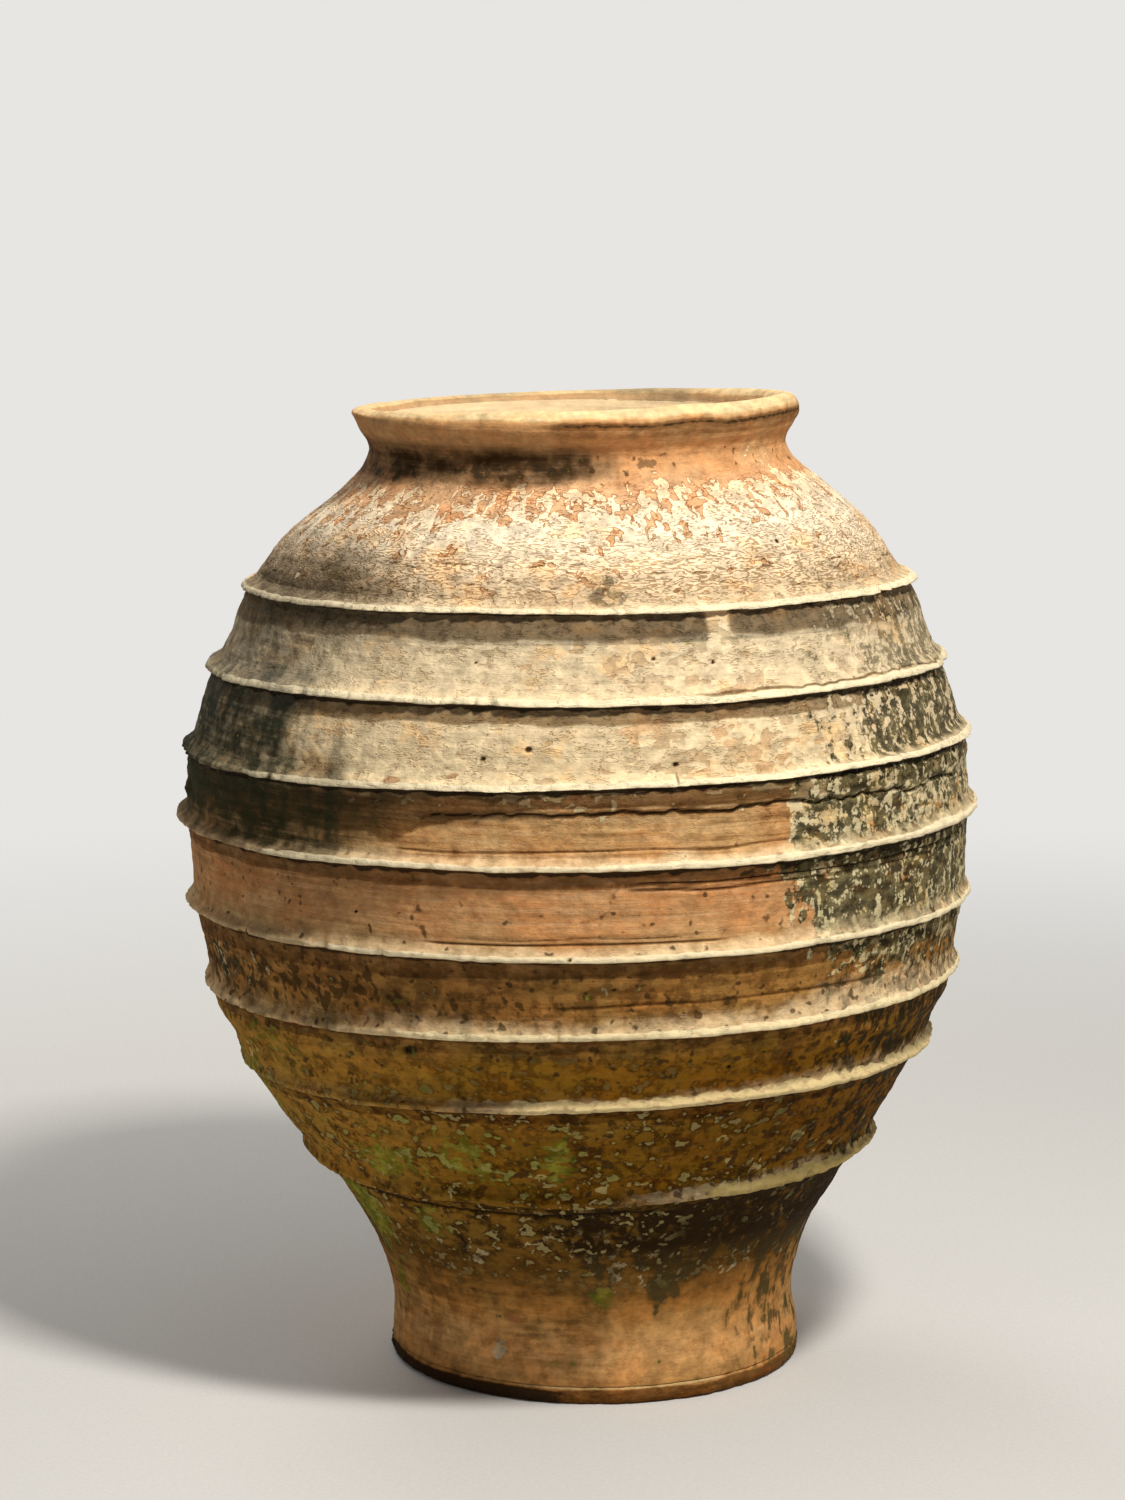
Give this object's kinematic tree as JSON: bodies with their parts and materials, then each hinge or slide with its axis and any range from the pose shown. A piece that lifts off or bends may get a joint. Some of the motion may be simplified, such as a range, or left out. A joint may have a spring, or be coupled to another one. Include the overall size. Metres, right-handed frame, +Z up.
{
  "type": "terracotta urn",
  "caption": "Large free-standing storage urn of weathered terracotta, with a narrow foot, a wide ribbed belly and a rolled lip round its open mouth.",
  "frame": {"origin": "on the ground, at the middle of the whole jar's plan", "axes": "+Z up through the mouth, -Y towards the picture's camera, +X to its right"},
  "size_m": [0.7866, 0.7866, 0.9597],
  "materials": {
    "foot_clay": "matt fired clay, orange-brown, with damp stains and pale scuffs",
    "mossed_clay": "matt fired clay, brown, with moss, lichen and dark pits",
    "bare_clay": "matt fired clay, clean orange, with fine throwing lines and dark streaks",
    "greyed_clay": "matt fired clay, greyed beige, with dark algae on one side",
    "limed_clay": "matt fired clay under a flaking pale lime bloom",
    "band_clay": "matt fired clay, pale worn edge with small chips"
  },
  "bodies": {
    "root": {"floor_slab": "foot_clay", "foot_wall": "foot_clay", "wall_course_1": "mossed_clay", "wall_course_2": "mossed_clay", "wall_course_3": "bare_clay", "wall_course_4": "bare_clay", "wall_course_5": "bare_clay", "wall_course_6": "greyed_clay", "wall_course_7": "greyed_clay", "shoulder": "limed_clay", "neck": "limed_clay", "rolled_lip": "limed_clay", "joint_band_1": "band_clay", "joint_band_2": "band_clay", "joint_band_3": "band_clay", "joint_band_4": "band_clay", "joint_band_5": "band_clay", "joint_band_6": "band_clay", "joint_band_7": "band_clay", "joint_band_8": "band_clay"}
  },
  "joints": []
}
